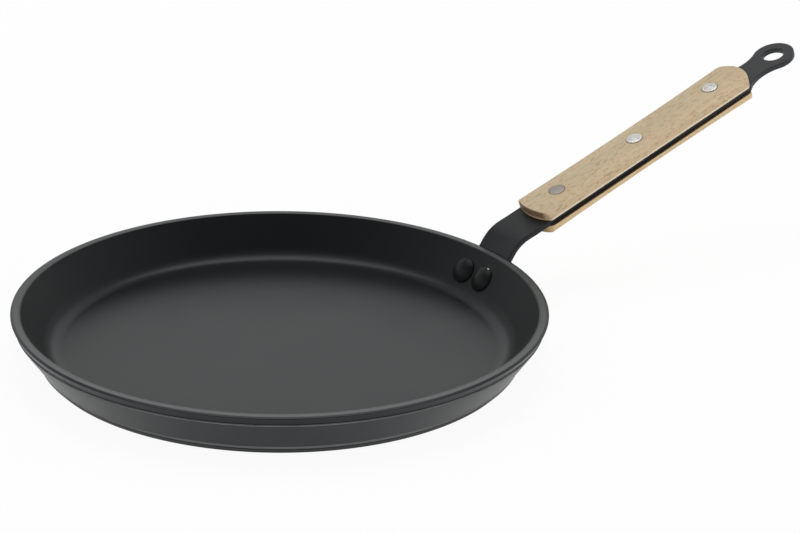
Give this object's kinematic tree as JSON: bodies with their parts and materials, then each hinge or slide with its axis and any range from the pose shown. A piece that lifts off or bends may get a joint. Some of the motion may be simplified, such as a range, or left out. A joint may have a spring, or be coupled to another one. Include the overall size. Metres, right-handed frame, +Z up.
{
  "type": "crepe pan",
  "caption": "Low crepe pan: dark coated dish with a leaning wall and turned rim, and a riveted strip handle with wooden scales that ends in a hanging ring.",
  "frame": {"origin": "centre of the flat underside that the pan rests on", "axes": "+X along the handle, away from the dish; +Z up, out of the dish; +Y to the side"},
  "size_m": [0.4541, 0.2594, 0.0971],
  "materials": {
    "pan_coat": "satin dark grey non-stick coat on thick turned aluminium",
    "strip_coat": "semi-matt black coat on steel strip",
    "beech": "pale beech, sanded and lightly oiled",
    "rivet_aluminium": "satin aluminium with fine scratches",
    "rivet_coat": "semi-matt black coat"
  },
  "bodies": {
    "root": {"pan_body": "pan_coat", "handle_strip": "strip_coat", "upper_scale": "beech", "lower_scale": "beech", "scale_rivet_front": "rivet_aluminium", "scale_rivet_middle": "rivet_aluminium", "scale_rivet_rear": "rivet_aluminium", "pan_rivet_left": "rivet_coat", "pan_rivet_right": "rivet_coat"}
  },
  "joints": []
}
